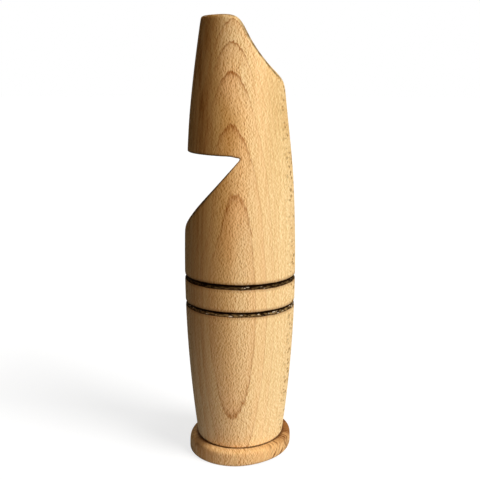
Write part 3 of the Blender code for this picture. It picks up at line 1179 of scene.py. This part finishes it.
# %% The three pieces
PIECES = (
    ("barrel", barrel_tree, BARREL, barrel_wood, "whistle_body", "beech_body"),
    ("plug", plug_tree, PLUG, plug_wood, "fipple_plug", "beech_plug"),
    ("foot", foot_tree, FOOT, foot_wood, "foot_cap", "beech_foot"),
)
whistle = bpy.data.collections.new("whistle")
for name, tree, sizes, wood, node, slot in PIECES:
    piece = make_piece(name, tree, sizes, wood)
    whistle.objects.link(piece)
    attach(piece, "root")
    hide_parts(node)

# %% [markdown]
# ## Floor
#
# A white floor should look white without flooding the wood with light. So the floor glows a little for the
# camera only, and what the lamps add on top takes it to full white. Where the whistle stands in the light,
# only the glow is left, and that is the soft shadow. Close to the foot the glow is made weaker, which is a
# painted shadow round the foot. For all other rays the floor is a bluish grey near the foot and black
# farther away, so that it throws light back onto the whistle only from close by.

# %% Floor
FLOOR_SIZE = 6.0  # in metres, as the rest of the room
FLOOR_TONE = (0.315, 0.315, 0.315)
FLOOR_ROUGHNESS = 0.9
FLOOR_GLOW_AND_SHADE = (14.0, 34.0, 0.785, 0.838)  # by the distance from the axis, in mm; the lower glow close by is a painted shadow
BOUNCE = (0.44, 0.47, 0.58)
BOUNCE_REACH = (30.0, 120.0)
WHITE = (1.0, 1.0, 1.0, 1.0)
CORNERS = ((-1, -1), (1, -1), (1, 1), (-1, 1))
RAYS_SEEN = ("Is Camera Ray", "Is Glossy Ray", "Is Transmission Ray")


def seen_directly(tree):
    """1 for what the camera sees, directly or mirrored in gloss or through glass."""
    path = add_node(tree, "ShaderNodeLightPath")
    camera_ray, mirrored, through_glass = (path.sibling(name) for name in RAYS_SEEN)
    return camera_ray.largest(mirrored).largest(through_glass)


floor_mesh = bpy.data.meshes.new("floor")
corners = [(right * FLOOR_SIZE / 2, back * FLOOR_SIZE / 2, 0) for right, back in CORNERS]
floor_mesh.from_pydata(corners, [], [(0, 1, 2, 3)])
floor = put_in_scene("floor", floor_mesh)
floor_paint, place = start_finish("white_floor")
tree = place.tree
from_foot = add_node(tree, "ShaderNodeVectorMath", place, settings={"operation": "LENGTH"}).sibling("Value")
close_by = from_foot.fade(*BOUNCE_REACH)
thrown_back = vector(*(close_by * part for part in BOUNCE))
shader = tree.nodes["Principled BSDF"]
plug_in(shader.inputs["Base Color"], mix_colour(seen_directly(tree), thrown_back, FLOOR_TONE))
shader.inputs["Roughness"].default_value = FLOOR_ROUGHNESS
shader.inputs["Specular IOR Level"].default_value = 0.0
shader.inputs["Emission Color"].default_value = WHITE
# the weaker glow close to the foot is a painted shadow round it
plug_in(shader.inputs["Emission Strength"], seen_directly(tree) * from_foot.ramp(*FLOOR_GLOW_AND_SHADE))
floor_mesh.materials.append(floor_paint)
print("floor is", FLOOR_SIZE, "m wide")

# %% [markdown]
# ## Light
#
# One wide sun from the right and front is the window of the room. A weak warm one from the front stands for
# light that the room throws back, and another from behind keeps the far side readable. Light linking lets
# these two light only the whistle, so the floor shows one shadow. The world is white where the camera sees
# it and nearly dark for all else, because a bright world would wash out the dark side of the barrel.

# %% Light
WINDOW_LIGHT = dict(azimuth=62, elevation=38, strength=1.12, spread=31, colour=(1.0, 0.99, 0.97))
ROOM_LIGHT = dict(azimuth=24, elevation=32, strength=0.355, spread=65, colour=(1.0, 0.66, 0.43))
FAR_SIDE_LIGHT = dict(azimuth=178, elevation=35, strength=0.55, spread=60, colour=(1.0, 0.97, 0.93))
FILL = (0.008, 0.007, 0.006, 1.0)


def sun(name, azimuth, elevation, strength, spread, colour, only_on=None):
    """A distant lamp. Azimuth is from the front towards the right, in degrees."""
    data = bpy.data.lights.new(name, "SUN")
    data.energy = strength * math.pi
    data.angle = math.radians(spread)
    data.color = colour
    lamp = put_in_scene(name, data)
    lamp.rotation_euler = (math.radians(90 - elevation), 0, math.radians(azimuth))
    if only_on:
        lamp.light_linking.receiver_collection = only_on


sun("window_light", **WINDOW_LIGHT)
sun("room_light", **ROOM_LIGHT, only_on=whistle)
sun("far_side_light", **FAR_SIDE_LIGHT, only_on=whistle)

world = bpy.data.worlds.new("room")
world.use_nodes = True
bpy.context.scene.world = world
tree = world.node_tree
dim = tree.nodes["Background"]
dim.inputs["Color"].default_value = FILL
white = add_node(tree, "ShaderNodeBackground", Color=WHITE, Strength=1.0)
both = add_node(tree, "ShaderNodeMixShader", seen_directly(tree), Wire(dim.outputs[0]), white)
plug_in(tree.nodes["World Output"].inputs["Surface"], both)
bpy.context.scene.view_settings.view_transform = "Standard"
print("lamps:", [light.name for light in bpy.data.lights])
